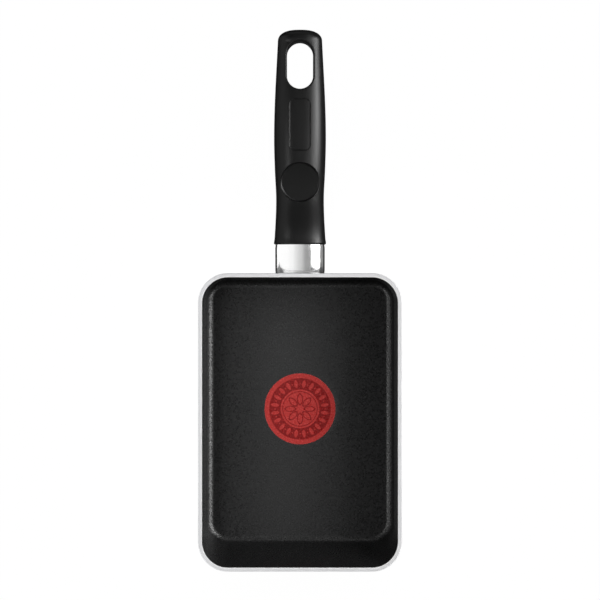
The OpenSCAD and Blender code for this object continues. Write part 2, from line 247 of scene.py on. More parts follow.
# Sockets of a mix node
MIX_FACTOR = 0
FLOAT_FIRST = 2
FLOAT_SECOND = 3
FLOAT_RESULT = 0
COLOUR_FIRST = 6
COLOUR_SECOND = 7
COLOUR_RESULT = 2

# Camera, light and stage, in metres
SENSOR = 36          # width of the sensor in millimetres
LENS = 145.1         # focal length in millimetres
CAMERA_PLACE = (0, 0.07596, 1.537)
NEAREST_SEEN = 0.1
FARTHEST_SEEN = 100
LIGHT_AIM_Z = 0.04   # height of the line that the lights face
LIGHT_DISTANCE = 2.2
WORLD_RADIANCE = 0.04
STAGE_R = 12
STAGE_LEVEL = -0.0001
STAGE_POINTS = 64
STAGE_GREY = 0.8
FLOOR_GLOW = 0.97
BACKDROP_GLOW = 1.0
BACKDROP_RINGS = 12
BACKDROP_HOLE = 0.02    # angle between the backdrop's topmost ring and the zenith


def object_from(name, points, faces, body="root"):
    mesh = bpy.data.meshes.new(name)
    mesh.from_pydata((np.asarray(points, float) * MM).tolist(), [], faces)
    mesh.validate()
    mesh.shade_smooth()
    piece = bpy.data.objects.new(name, mesh)
    bpy.context.scene.collection.objects.link(piece)
    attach(piece, body)
    return piece


def turn_outwards(piece):
    """Makes all faces look outwards, and frees the mesh of double points."""
    work = bmesh.new()
    work.from_mesh(piece.data)
    bmesh.ops.remove_doubles(work, verts=work.verts, dist=JOIN_REACH * MM)
    bmesh.ops.recalc_face_normals(work, faces=work.faces)
    work.to_mesh(piece.data)
    work.free()


def even_shading(piece):
    """Lets the large faces set the normals, so that flats look flat beside small roundings."""
    modifier = piece.modifiers.new("even_shading", "WEIGHTED_NORMAL")
    modifier.keep_sharp = True
    modifier.weight = LARGE_FACE_WEIGHT


def quads_between(start, end, count):
    """Faces between two rings of count points that begin at the given indices."""
    return [(start + j, start + (j + 1) % count, end + (j + 1) % count, end + j) for j in range(count)]


def loft(rings, closed=False):
    """Points and faces over a stack of rings. A closed stack leads from its last ring back to its first."""
    count = len(rings[0])
    points = np.concatenate(rings)
    faces = []
    for i in range(len(rings) - 1):
        faces += quads_between(i * count, (i + 1) * count, count)
    if closed:
        faces += quads_between((len(rings) - 1) * count, 0, count)
    return points, faces


def capped(rings):
    """A loft whose two ends are closed, each by a fan round its middle."""
    points, faces = loft(rings)
    count = len(rings[0])
    last = (len(rings) - 1) * count
    middles = [rings[0].mean(0), rings[-1].mean(0)]
    points = np.concatenate([points, middles])
    first_middle = len(points) - 2
    faces += [(j, (j + 1) % count, first_middle) for j in range(count)]
    faces += [(last + j, last + (j + 1) % count, first_middle + 1) for j in range(count)]
    return points, faces


# Pan surfaces
def reach(height, lean, r):
    """Run from the flat of the floor out to the surface, at that height over the floor."""
    top_of_arc = r * (1 - math.sin(lean))
    if height < top_of_arc:
        return math.sqrt(max(0, 2 * r * height - height * height))
    return r * math.cos(lean) + (height - top_of_arc) * math.tan(lean)


def inset(height, full, lean, r):
    """How far the surface lies inside its own rim, at that height."""
    return reach(full, lean, r) - reach(height, lean, r)


def outline(half_w, back, front, rear_r, front_r, z):
    """A rectangle with round corners, as a ring of points at height z."""
    corners = (
        (half_w - rear_r, back - rear_r, rear_r),
        (rear_r - half_w, back - rear_r, rear_r),
        (front_r - half_w, front + front_r, front_r),
        (half_w - front_r, front + front_r, front_r))
    runs = []
    for k, (x, y, r) in enumerate(corners):
        turns = math.pi / 2 * (k + np.linspace(0, 1, CORNER_STEPS + 1))
        arc = np.stack([x + r * np.cos(turns), y + r * np.sin(turns)], 1)
        next_x, next_y, next_r = corners[(k + 1) % 4]
        next_start = np.array([next_x + next_r * math.cos(turns[-1]), next_y + next_r * math.sin(turns[-1])])
        steps = END_STEPS if k % 2 == 0 else SIDE_STEPS
        share = np.arange(1, steps)[:, None] / steps
        runs += [arc, arc[-1] + share * (next_start - arc[-1])]
    flat = np.concatenate(runs)
    return np.column_stack([flat, np.full(len(flat), z)])


def pan_ring(d, z, z_floor):
    """Ring of the surface that lies d outside the inside of the wall, at height z."""
    full = PAN_H - z_floor
    height = max(0, z - z_floor)
    r = FLOOR_R + d
    side = inset(height, full, SIDE_LEAN, r)
    share = side / inset(0, full, SIDE_LEAN, r)
    back = OPEN_L / 2 + d - inset(height, full, BACK_LEAN, r)
    front = inset(height, full, FRONT_LEAN, r) - OPEN_L / 2 - d
    return outline(
        OPEN_W / 2 + d - side, back, front,
        CORNER_R + d - (CORNER_R - REAR_FLOOR_CORNER) * share,
        CORNER_R + d - (CORNER_R - FRONT_FLOOR_CORNER) * share,
        z)


def wall_heights(r, top, start=0.0):
    """Heights over the floor, from start, of the rings through the fillet and up the wall."""
    turns = np.linspace(0, math.pi / 2 - min(SIDE_LEAN, BACK_LEAN), FILLET_STEPS + 1)
    fillet = r * (1 - np.cos(turns))
    if start:
        fillet = [start] + [h for h in fillet if h > start + TINY]
    return list(fillet) + list(np.linspace(fillet[-1], top, WALL_STEPS + 1)[1:])


def circle_like(ring, middle, r, z):
    """A circle round (0, middle) with one point for each point of the ring."""
    x = ring[:, 0]
    y = ring[:, 1] - middle
    far = np.hypot(x, y)
    return np.column_stack([r * x / far, middle + r * y / far, np.full(len(ring), z)])


def flat_rings(ring, circle, count=FLOOR_RINGS):
    """Rings between an outline and a circle in one plane, without the two themselves."""
    return [ring + (circle - ring) * i / count for i in range(1, count)]


def grooved_base(foot):
    """Rings of the resting face, from its outline to the innermost circle, with its turned grooves."""
    half = GROOVE_W / 2
    soft = GROOVE_SOFT
    profile = []
    for r in sorted(GROOVE_RADII, reverse=True):
        profile += [
            (r + half + soft, 0), (r + half, soft / 3), (r + half - soft, GROOVE_DEPTH),
            (r, GROOVE_DEPTH + soft / 3),
            (r - half + soft, GROOVE_DEPTH), (r - half, soft / 3), (r - half - soft, 0)]
    profile += [(BASE_INNER_R, 0), (MIDDLE_R, 0)]
    first = circle_like(foot, FLOOR_MID, profile[0][0], 0)
    rings = flat_rings(foot, first, BASE_RINGS)
    return rings + [circle_like(foot, FLOOR_MID, r, z) for r, z in profile]


def rim_profile():
    """Offset and height of each ring over the bare rim, from the outside to the inside."""
    turns = np.linspace(0, math.pi / 2, EDGE_STEPS + 1)
    outer = [(WALL - RIM_EDGE * (1 - math.cos(a)), PAN_H - RIM_EDGE * (1 - math.sin(a))) for a in turns]
    top = PAN_H - RIM_BEVEL_DROP
    inner = [(RIM_LIP * (1 - math.sin(a)), top - RIM_LIP * (1 - math.cos(a))) for a in turns]
    flat = np.linspace(outer[-1][0], RIM_BEVEL_W, RIM_STEPS + 1)[1:-1]
    bevel_start = [(RIM_BEVEL_W + BEVEL_SOFT, PAN_H), (RIM_BEVEL_W - BEVEL_SOFT, PAN_H - BEVEL_SOFT_DROP)]
    return outer + [(u, PAN_H) for u in flat] + bevel_start + inner


def pan_shell():
    """The bare pan, with its grooved resting face and its rim."""
    outside = [pan_ring(WALL, h, 0) for h in wall_heights(FLOOR_R + WALL, PAN_H - RIM_EDGE)]
    inside = [pan_ring(0, FLOOR_T + h, FLOOR_T)
              for h in wall_heights(FLOOR_R, PAN_H - FLOOR_T - INSIDE_STOP)]
    rim = [pan_ring(u, z, FLOOR_T * (1 - u / WALL)) for u, z in rim_profile()]
    middle = circle_like(inside[0], FLOOR_MID, MIDDLE_R, FLOOR_T)
    rings = grooved_base(outside[0])[::-1] + outside + rim[1:] + inside[::-1]
    rings += flat_rings(inside[0], middle, SHELL_FLOOR_RINGS) + [middle]
    piece = object_from("pan_shell", *capped(rings))
    turn_outwards(piece)
    even_shading(piece)
    paint_rim_bevel(piece)
    return piece


def paint_rim_bevel(piece):
    """Gives the bevel next to the opening and the coated lip inside it their own materials."""
    bevel_low = PAN_H - RIM_BEVEL_DROP - RIM_LIP - BEVEL_MARGIN
    for polygon in piece.data.polygons:
        centre = polygon.center / MM
        if centre.z > bevel_low:
            offset = rim_offset(centre.x, centre.y)
            if offset < RIM_LIP:
                polygon.material_index = LIP_SLOT
            elif offset < RIM_BEVEL_W:
                polygon.material_index = BEVEL_SLOT


def rim_offset(x, y):
    """How far a point of the rim lies outside the opening's edge."""
    qx = abs(x) - (OPEN_W / 2 - CORNER_R)
    qy = abs(y) - (OPEN_L / 2 - CORNER_R)
    return math.hypot(max(qx, 0), max(qy, 0)) + min(max(qx, qy), 0) - CORNER_R


def coating_lip(base, thickness, top, z_floor):
    """The two rings that round the top edge of a coating, which lies on the wall's surface at base."""
    return [pan_ring(base + share * thickness, top - drop, z_floor) for share, drop in LIP_RINGS]


def inside_coating():
    """The skin inside the pan, with a round hole for the red spot."""
    lined = FLOOR_T + LINING_T
    top = PAN_H - RIM_BEVEL_DROP - RIM_LIP
    shown = [pan_ring(-LINING_T, lined + h, lined)
             for h in wall_heights(FLOOR_R - LINING_T, top - LINING_LIP_H - lined)]
    hidden = [pan_ring(-SKIN_GAP, FLOOR_T + SKIN_GAP + h, FLOOR_T + SKIN_GAP)
              for h in wall_heights(FLOOR_R, top - LINING_LIP_H - FLOOR_T)]
    lip = coating_lip(0, -LINING_T, top, lined)
    hole_top = circle_like(shown[0], SPOT_MID, SPOT_R + SPOT_GAP, lined)
    hole_foot = circle_like(hidden[0], SPOT_MID, SPOT_R + SPOT_GAP, FLOOR_T + SKIN_GAP)
    rings = [hole_top] + flat_rings(shown[0], hole_top)[::-1] + shown + lip + hidden[::-1]
    rings += flat_rings(hidden[0], hole_foot) + [hole_foot]
    piece = object_from("inside_coating", *loft(rings, closed=True))
    turn_outwards(piece)
    even_shading(piece)
    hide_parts("cooking_coating")
    return piece


def outside_coating():
    """The skin on the outside of the walls, between the bare rim and the bare foot."""
    top = PAN_H - BARE_RIM
    straight_top = top - COAT_LIP_H
    r = FLOOR_R + WALL
    outside = [pan_ring(WALL + COAT_T, h, -COAT_T) for h in wall_heights(r + COAT_T, straight_top, BARE_FOOT)]
    inside = [pan_ring(WALL + SKIN_GAP, h, 0) for h in wall_heights(r, straight_top, BARE_FOOT)]
    lip = coating_lip(WALL, COAT_T, top, 0)
    piece = object_from("outside_coating_skin", *loft(outside + lip + inside[::-1], closed=True))
    turn_outwards(piece)
    cut_stud_window(piece)
    even_shading(piece)
    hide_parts("outside_coating")
    return piece


def cut_stud_window(piece):
    """Opens the coating round the foot of the stud, inside the sleeve."""
    grow = FLANGE_OUT + FLANGE_GAP
    half_w = STUD_W / 2 + grow
    half_h = STUD_H / math.cos(PITCH + BACK_LEAN) / 2 + grow
    r = STUD_R + grow
    turns = np.linspace(0, 2 * math.pi, WINDOW_POINTS, endpoint=False)
    x = np.sign(np.cos(turns)) * (half_w - r) + r * np.cos(turns)
    v = np.sign(np.sin(turns)) * (half_h - r) + r * np.sin(turns)
    lean = math.tan(BACK_LEAN)
    rings = [np.column_stack([x, WALL_Y + v * lean + out, MOUNT_Z + v])
             for out in (-WINDOW_REACH, WINDOW_REACH)]
    cutter = object_from("stud_window_cutter", *capped(rings))
    turn_outwards(cutter)
    modifier = piece.modifiers.new("window", "BOOLEAN")
    modifier.operation = "DIFFERENCE"
    modifier.solver = "EXACT"
    modifier.object = cutter
    bpy.context.view_layer.update()
    shape = piece.evaluated_get(bpy.context.evaluated_depsgraph_get())
    mesh = bpy.data.meshes.new_from_object(shape)
    piece.modifiers.clear()
    piece.data = mesh
    bpy.data.objects.remove(cutter)


# Handle line
def axis_z(y):
    """Height of the screw's axis over the resting face."""
    return MOUNT_Z + (y - WALL_Y) * math.tan(PITCH)


def line_z(y):
    """Height of the handle's line, which leaves the screw's axis upwards towards the tip."""
    return axis_z(y) + TAIL_LIFT * (np.maximum(0, y - HANDLE_FRONT) / GRIP_L) ** 2


def along_axis(y, z):
    """Distance along the screw axis from the wall, and height square to it."""
    dy = y - WALL_Y
    dz = z - MOUNT_Z
    return dy * math.cos(PITCH) + dz * math.sin(PITCH), dz * math.cos(PITCH) - dy * math.sin(PITCH)


def sleeve():
    """The tube between the rear wall and the handle, cut to both."""
    turns = np.linspace(0, 2 * math.pi, SLEEVE_POINTS, endpoint=False)

    def section(shrink):
        x = np.sign(np.cos(turns)) * np.abs(np.cos(turns)) ** (2 / SLEEVE_POWER)
        v = np.sign(np.sin(turns)) * np.abs(np.sin(turns)) ** (2 / SLEEVE_POWER)
        return (SLEEVE_W / 2 - shrink) * x, (SLEEVE_H / 2 - shrink) * v

    lean = math.tan(BACK_LEAN)
    wall_face = OPEN_L / 2 + WALL + COAT_T

    def ring(shrink, share, lift):
        """Ring at a share of the way from the wall to the handle, moved lift back from the nearer end."""
        x, v = section(shrink)
        start = wall_face - WALL_Y - MOUNT_DROP * lean + v * (math.cos(PITCH) * lean + math.sin(PITCH))
        start = start / (math.cos(PITCH) - math.sin(PITCH) * lean)
        end = (HANDLE_FRONT - WALL_Y + v * math.sin(PITCH)) / math.cos(PITCH)
        s = start + share * (end - start) + (lift if share < 0.5 else -lift)
        y = WALL_Y + s * math.cos(PITCH) - v * math.sin(PITCH)
        z = MOUNT_Z + s * math.sin(PITCH) + v * math.cos(PITCH)
        return np.column_stack([x, y, z])

    arc = np.linspace(0, math.pi / 2, EDGE_STEPS + 1)
    lip = [(SLEEVE_EDGE * (1 - math.sin(a)), SLEEVE_EDGE * (1 - math.cos(a))) for a in arc]
    rings = [ring(shrink, 0, lift) for shrink, lift in lip[::-1]]
    rings += [ring(0, share, 0) for share in np.linspace(0, 1, SLEEVE_STEPS + 1)[1:-1]]
    rings += [ring(shrink, 1, lift) for shrink, lift in lip]
    rings += [ring(SLEEVE_T - shrink, 1, lift) for shrink, lift in lip[::-1]]
    rings += [ring(SLEEVE_T, share, 0) for share in np.linspace(1, 0, SLEEVE_STEPS + 1)[1:-1]]
    rings += [ring(SLEEVE_T - shrink, 0, lift) for shrink, lift in lip]
    piece = object_from("sleeve", *loft(rings, closed=True))
    turn_outwards(piece)
    even_shading(piece)
    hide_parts("ferrule")
    return piece


# Shapes of the handle, as distances in millimetres that are negative inside
def station_slopes():
    """Slopes of the handle's sizes at each station, without overshoot between two stations."""
    steps = np.diff(STATIONS[:, 0])
    chords = np.diff(STATIONS, axis=0) / steps[:, None]
    slopes = np.zeros_like(STATIONS)
    slopes[0] = END_SLOPE * chords[0]
    slopes[-1] = END_SLOPE * chords[-1]
    for i in range(1, len(STATIONS) - 1):
        before, after = chords[i - 1], chords[i]
        same = before * after > 0
        slopes[i][same] = 2 * before[same] * after[same] / (before[same] + after[same])
    return slopes


SLOPES = station_slopes()


def grip_sizes(t):
    """Half width, height of the top and depth of the underside at distance t from the handle's front."""
    t = np.clip(t, 0, STATIONS[-1, 0])
    i = np.clip(np.searchsorted(STATIONS[:, 0], t, side="right") - 1, 0, len(STATIONS) - 2)
    step = STATIONS[i + 1, 0] - STATIONS[i, 0]
    u = (t - STATIONS[i, 0]) / step
    sizes = []
    for column in (1, 2, 3):
        sizes.append(
            (2 * u ** 3 - 3 * u ** 2 + 1) * STATIONS[i, column]
            + (u ** 3 - 2 * u ** 2 + u) * step * SLOPES[i, column]
            + (3 * u ** 2 - 2 * u ** 3) * STATIONS[i + 1, column]
            + (u ** 3 - u ** 2) * step * SLOPES[i + 1, column])
    return sizes


def both(a, b, r):
    """What lies in a and in b, with its edge rounded by r."""
    return np.minimum(np.maximum(a, b), -r) + np.hypot(np.maximum(a + r, 0), np.maximum(b + r, 0))


def without(a, b, r):
    """What lies in a and not in b, with its edge rounded by r."""
    return both(a, -b, r)


def rounded_level(across, upwards, power):
    """Under 1 inside a rounded section whose half sizes are 1, and 1 on its edge."""
    return (np.abs(across) ** power + np.abs(upwards) ** power) ** (1 / power)


def grip_level(x, y, z):
    """Under 1 inside the bare grip, and 1 on its surface."""
    t = y - HANDLE_FRONT
    half, top, under = grip_sizes(t)
    middle = line_z(y) + (top - under) / 2
    half_h = (top + under) / 2
    section = rounded_level(x / half, (z - middle) / half_h, GRIP_POWER)
    tip = np.maximum(0, (t - (GRIP_L - TIP_L)) / TIP_L)
    return (section ** TIP_POWER + tip ** TIP_POWER) ** (1 / TIP_POWER)


def grip_distance(x, y, z):
    """Distance to the surface of the bare grip, to first order."""
    e = LEVEL_STEP
    level = grip_level(x, y, z)
    slope_x = (grip_level(x + e, y, z) - level) / e
    slope_y = (grip_level(x, y + e, z) - level) / e
    slope_z = (grip_level(x, y, z + e) - level) / e
    slope = np.sqrt(slope_x ** 2 + slope_y ** 2 + slope_z ** 2)
    return (level - 1) / np.maximum(slope, LEAST_LEVEL_SLOPE)


def box_distance(x, y, half_x, half_y, r):
    """Distance to a rectangle with rounded corners."""
    qx = np.abs(x) - (half_x - r)
    qy = np.abs(y) - (half_y - r)
    return np.hypot(np.maximum(qx, 0), np.maximum(qy, 0)) + np.minimum(np.maximum(qx, qy), 0) - r


def spigot_distance(x, s, v):
    """Distance to the plug that the handle pushes into the sleeve."""
    half_w = SLEEVE_W / 2 - SLEEVE_T - SPIGOT_GAP
    half_h = SLEEVE_H / 2 - SLEEVE_T - SPIGOT_GAP
    section = rounded_level(x / half_w, v / half_h, SLEEVE_POWER)
    return both((section - 1) * half_h, STUD_L - KEY_L - s, BORE_EDGE)


def grip_top(y):
    """Height of the top of the grip over the resting face."""
    return line_z(y) + grip_sizes(y - HANDLE_FRONT)[1]


def thumb_distance(x, y, z):
    """Distance to the space over the thumb rest.

    It is round as seen from above, and its floor lies equally deep at its front and its back."""
    middle_y = HANDLE_FRONT + THUMB_AT
    front = grip_top(middle_y - THUMB_R)
    back = grip_top(middle_y + THUMB_R)
    dy = y - middle_y
    floor = (front + back) / 2 - THUMB_DEPTH + dy * (back - front) / (2 * THUMB_R)
    floor = floor + THUMB_SAG * ((dy / THUMB_R) ** 2 - 1)
    return both(np.hypot(x, dy) - THUMB_R, floor - z, THUMB_FOOT)


def handle_distance(p):
    """Distance to the surface of the whole handle, with all its openings."""
    x, y, z = p[..., 0], p[..., 1], p[..., 2]
    s, v = along_axis(y, z)
    grip = grip_distance(x, y, z)
    panel_y = EYE_FRONT - PANEL_TO_EYE - PANEL_L / 2
    panel = box_distance(x, y - panel_y, PANEL_W / 2, PANEL_L / 2, PANEL_R)
    panel = np.where(z > line_z(y), both(panel, -grip - PANEL_DEPTH, PANEL_FOOT), FAR_OFF)
    eye_y = (EYE_FRONT + EYE_BACK) / 2
    eye = box_distance(x, y - eye_y, EYE_W / 2, EYE_L / 2, EYE_W / 2)
    whole = both(grip, HANDLE_FRONT - y, FRONT_EDGE)
    whole = without(whole, panel, PANEL_EDGE)
    whole = without(whole, thumb_distance(x, y, z), THUMB_EDGE)
    whole = without(whole, eye, EYE_EDGE)
    spigot = both(spigot_distance(x, s, v), y - HANDLE_FRONT - SPIGOT_OVERLAP, 0)
    whole = np.minimum(whole, spigot)
    far = np.hypot(x, v)
    seat_s = (EYE_FRONT - WALL_Y) / math.cos(PITCH) - COUNTERBORE_L
    way = np.maximum(far - SCREW_WAY_R, s - seat_s - WAY_OVERLAP)
    counterbore = np.maximum(np.maximum(far - COUNTERBORE_R, seat_s - s), y - (EYE_FRONT + EYE_W / 2))
    pocket = box_distance(x, v, STUD_W / 2 + KEY_GAP, STUD_H / 2 + KEY_GAP, STUD_R + KEY_GAP)
    pocket = np.maximum(pocket, s - STUD_L - KEY_GAP)
    whole = without(whole, pocket, 0)
    whole = without(whole, way, 0)
    return without(whole, counterbore, BORE_EDGE)


def gradient_of(distance, p):
    """Slope of a distance at each point."""
    shifts = np.eye(3) * SLOPE_STEP
    return np.stack([(distance(p + shift) - distance(p - shift)) / (2 * SLOPE_STEP) for shift in shifts], -1)


def surface_net(values):
    """Quads along the zero of the values on a grid, with their points in units of the grid."""
    inside = values < 0
    cells = tuple(n - 1 for n in values.shape)
    spans = [slice(0, -1), slice(1, None)]
    corners = [(i, j, k) for i in (0, 1) for j in (0, 1) for k in (0, 1)]
    count = sum(inside[spans[i], spans[j], spans[k]].astype(np.int8) for i, j, k in corners)
    mixed = (count > 0) & (count < 8)
    index = np.full(cells, -1)
    index[mixed] = np.arange(mixed.sum())
    at = np.argwhere(mixed)
    total = np.zeros((len(at), 3))
    hits = np.zeros(len(at))
    for a in corners:
        for axis in range(3):
            if a[axis] == 1:
                continue
            b = list(a)
            b[axis] = 1
            value_a = values[tuple((at + a).T)]
            value_b = values[tuple((at + b).T)]
            crosses = (value_a < 0) != (value_b < 0)
            share = value_a[crosses] / (value_a[crosses] - value_b[crosses])
            place = at[crosses] + np.array(a, float)
            place[:, axis] += share
            total[crosses] += place
            hits[crosses] += 1
    points = total / hits[:, None]
    faces = []
    for axis in range(3):
        u, w = (axis + 1) % 3, (axis + 2) % 3
        low = [slice(None)] * 3
        high = [slice(None)] * 3
        low[axis], high[axis] = spans
        edges = np.argwhere(inside[tuple(low)] != inside[tuple(high)])
        keep = (edges[:, u] > 0) & (edges[:, w] > 0)
        keep &= (edges[:, u] < cells[u]) & (edges[:, w] < cells[w])
        edges = edges[keep]
        ring = []
        for du, dw in ((-1, -1), (0, -1), (0, 0), (-1, 0)):
            cell = edges.copy()
            cell[:, u] += du
            cell[:, w] += dw
            ring.append(index[tuple(cell.T)])
        quads = np.stack(ring, 1)
        leaves = inside[tuple(edges.T)]
        quads[~leaves] = quads[~leaves][:, ::-1]
        faces.append(quads)
    return points, np.concatenate(faces)


def handle_mesh():
    """The moulded handle, found as the zero of its distance on a grid that follows the handle's line."""
    start_y = WALL_Y + (STUD_L - KEY_L) * math.cos(PITCH) - SLEEVE_H / 2 * math.sin(PITCH)
    half_w = BELLY[1] + SIDE_CELLS * GRID
    reach_z = max(BELLY[2], FRONT_HALF_H) + HEIGHT_CELLS * GRID
    xs = np.arange(-half_w, half_w + GRID, GRID)
    ys = np.arange(start_y - SIDE_CELLS * GRID, HANDLE_TIP + SIDE_CELLS * GRID, GRID)
    ws = np.arange(-reach_z, reach_z, GRID)
    x, y, w = np.meshgrid(xs, ys, ws, indexing="ij")
    values = handle_distance(np.stack([x, y, line_z(y) + w], -1))
    points, faces = surface_net(values)
    points = points * GRID + (xs[0], ys[0], ws[0])
    points[:, 2] += line_z(points[:, 1])
    for _ in range(FIT_ROUNDS):
        slope = gradient_of(handle_distance, points)
        length = np.maximum(np.linalg.norm(slope, axis=1, keepdims=True), LEAST_SLOPE)
        step = handle_distance(points)[:, None] * slope / length ** 2
        points -= np.clip(step, -GRID / 2, GRID / 2)
    return points, faces


def handle():
    """The moulded handle, shaded with the true slope of its surface."""
    points, faces = handle_mesh()
    piece = object_from("handle_moulding", points, faces.tolist())
    slope = gradient_of(handle_distance, points)
    normals = slope / np.maximum(np.linalg.norm(slope, axis=1, keepdims=True), TINY)
    piece.data.normals_split_custom_set_from_vertices(normals.tolist())
    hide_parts("handle")
    return piece


# Red spot
def around(r, count):
    """A circle of count points round the middle of the spot."""
    turns = np.linspace(0, 2 * math.pi, count, endpoint=False)
    return np.stack([r * np.cos(turns), r * np.sin(turns)], 1)


def plates(shapes, low, high):
    """Points and faces of flat plates, one for each outline, given round the middle of the spot."""
    points = []
    faces = []
    for shape in shapes:
        base = sum(len(p) for p in points)
        count = len(shape)
        flat = shape + (0, SPOT_MID)
        points += [np.column_stack([flat, np.full(count, z)]) for z in (low, high)]
        faces.append(tuple(base + j for j in range(count))[::-1])
        faces.append(tuple(base + count + j for j in range(count)))
        faces += quads_between(base, base + count, count)
    return np.concatenate(points), faces


def rings_of(pairs, low, high):
    """Points and faces of flat rings, each between an outer and an inner outline."""
    points = []
    faces = []
    for outer, inner in pairs:
        base = sum(len(p) for p in points)
        count = len(outer)
        loops = [(outer, low), (outer, high), (inner, high), (inner, low)]
        points += [np.column_stack([flat + (0, SPOT_MID), np.full(count, z)]) for flat, z in loops]
        for i in range(4):
            faces += quads_between(base + i * count, base + (i + 1) % 4 * count, count)
    return np.concatenate(points), faces


def turned(shape, turn):
    """An outline turned round the middle of the spot by a share of a full turn."""
    c, s = math.cos(math.tau * turn), math.sin(math.tau * turn)
    return shape @ np.array([[c, s], [-s, c]])


def leaf(middle_r, half_l, half_w):
    """A pointed leaf that lies along the radius."""
    turns = np.linspace(0, math.pi, LEAF_STEPS + 1)
    along = middle_r + half_l * np.cos(turns)
    side = half_w * np.sin(turns) ** LEAF_POWER
    there = np.stack([along, side], 1)
    back = np.stack([along, -side], 1)[::-1][1:-1]
    return np.concatenate([there, back])


def spot_pieces():
    """The red spot: a dark ring under a light band, a light disc and light marks, with a dark rosette."""
    top = FLOOR_T + LINING_T
    ring_top = top - SPOT_SINK
    root = ring_top - PLATE_ROOT
    edge = around(SPOT_R, ROUND_POINTS)
    ground = object_from("heat_spot_ground", *plates([edge], FLOOR_T + SKIN_GAP, ring_top))
    band = object_from("heat_spot_band", *rings_of([(edge, around(BAND_R, ROUND_POINTS))], root, top))
    disc = object_from("heat_spot_disc", *plates([around(CENTRE_R, DISC_POINTS)], root, top))
    mark_r = (BAND_R + CENTRE_R) / 2
    mark = leaf(mark_r, *MARK_LEAF)
    dot = around(DOT_R, DOT_POINTS) + (mark_r, 0)
    leaves = [turned(mark, (k + 0.5) / MARK_COUNT) for k in range(MARK_COUNT)]
    dots = [turned(dot, k / MARK_COUNT) for k in range(MARK_COUNT)]
    marks = object_from("heat_spot_marks", *plates(leaves + dots, root, top))
    petal = [leaf(PETAL_R, *sizes) for sizes in (PETAL_OUTER, PETAL_INNER)]
    rosette = [tuple(turned(side, k / PETAL_COUNT) for side in petal) for k in range(PETAL_COUNT)]
    rosette.append(tuple(around(r, DISC_POINTS) for r in DISC_LINE))
    lines = object_from("heat_spot_rosette", *rings_of(rosette, top - PLATE_ROOT, top + MARK_RISE))
    for piece in (ground, band, disc, marks, lines):
        turn_outwards(piece)
        piece.data.shade_flat()
    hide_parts("heat_spot")
    return {"dark": (ground, lines), "light": (band, disc, marks)}


# Materials
def new_material(name):
    material = bpy.data.materials.new(name)
    material.use_nodes = True
    tree = material.node_tree
    return material, tree, tree.nodes["Principled BSDF"]


def add(tree, kind, **values):
    """Adds a node, with values for its properties or its input sockets."""
    node = tree.nodes.new(kind)
    for key, value in values.items():
        if key in node.inputs:
            node.inputs[key].default_value = value
        else:
            setattr(node, key, value)
    return node


def own_place(tree):
    """The object's own coordinates."""
    return add(tree, "ShaderNodeTexCoord").outputs["Object"]


def noise(tree, scale, detail, place=None):
    """Noise with scale in features per metre, over the place given or else over the object's coordinates."""
    node = add(tree, "ShaderNodeTexNoise", Scale=scale, Detail=detail)
    tree.links.new(place or own_place(tree), node.inputs["Vector"])
    return node.outputs["Fac"]


def mapped(tree, value, low, high, from_low=0.0, from_high=1.0):
    node = add(tree, "ShaderNodeMapRange")
    node.inputs["From Min"].default_value = from_low
    node.inputs["From Max"].default_value = from_high
    node.inputs["To Min"].default_value = low
    node.inputs["To Max"].default_value = high
    tree.links.new(value, node.inputs["Value"])
    return node.outputs["Result"]


def moved(tree, operation, vector):
    """The object's own coordinates, changed by a vector."""
    node = add(tree, "ShaderNodeVectorMath", operation=operation)
    node.inputs[1].default_value = vector
    tree.links.new(own_place(tree), node.inputs[0])
    return node.outputs[0]


def two_colours(tree, factor, first, second):
    node = add(tree, "ShaderNodeMix", data_type="RGBA")
    tree.links.new(factor, node.inputs[MIX_FACTOR])
    node.inputs[COLOUR_FIRST].default_value = (*first, 1)
    node.inputs[COLOUR_SECOND].default_value = (*second, 1)
    return node.outputs[COLOUR_RESULT]


def bump(tree, shader, height, depth, strength=None):
    """Bump from a height between 0 and 1, depth in millimetres, with its strength from a socket if given."""
    node = add(tree, "ShaderNodeBump", Strength=1, Distance=depth * MM)
    if strength is not None:
        tree.links.new(strength, node.inputs["Strength"])
    tree.links.new(height, node.inputs["Height"])
    tree.links.new(node.outputs["Normal"], shader.inputs["Normal"])


def cooking_coating_material(name, ground, fleck, gloss=0.5):
    """Satin non-stick coating: a dark ground with fine mineral flecks and a soft orange-peel surface.

    The flat of the floor is smoother than the fillets and the walls."""
    material, tree, shader = new_material(name)
    shader.inputs["Specular IOR Level"].default_value = gloss
    chosen = mapped(tree, noise(tree, FLECKS, 1), 0, 1, FLECK_FROM, FLECK_FROM + FLECK_BLEND)
    tree.links.new(two_colours(tree, chosen, ground, fleck), shader.inputs["Base Color"])
    lined = FLOOR_T + LINING_T
    split = add(tree, "ShaderNodeSeparateXYZ")
    tree.links.new(own_place(tree), split.inputs[0])
    risen = mapped(tree, split.outputs["Z"], 0, 1, (lined + FLAT_TO) * MM, (lined + RISEN_FROM) * MM)
    grains = noise(tree, GRAINS, 1)
    roughness = add(tree, "ShaderNodeMix", data_type="FLOAT")
    tree.links.new(risen, roughness.inputs[MIX_FACTOR])
    for socket, span in ((FLOAT_FIRST, FLOOR_ROUGHNESS), (FLOAT_SECOND, WALL_ROUGHNESS)):
        tree.links.new(mapped(tree, grains, *span, GRAIN_FROM, GRAIN_TO), roughness.inputs[socket])
    tree.links.new(roughness.outputs[FLOAT_RESULT], shader.inputs["Roughness"])
    bump(tree, shader, noise(tree, PEEL, 1), PEEL_DEPTH, mapped(tree, risen, FLOOR_PEEL, 1))
    return material


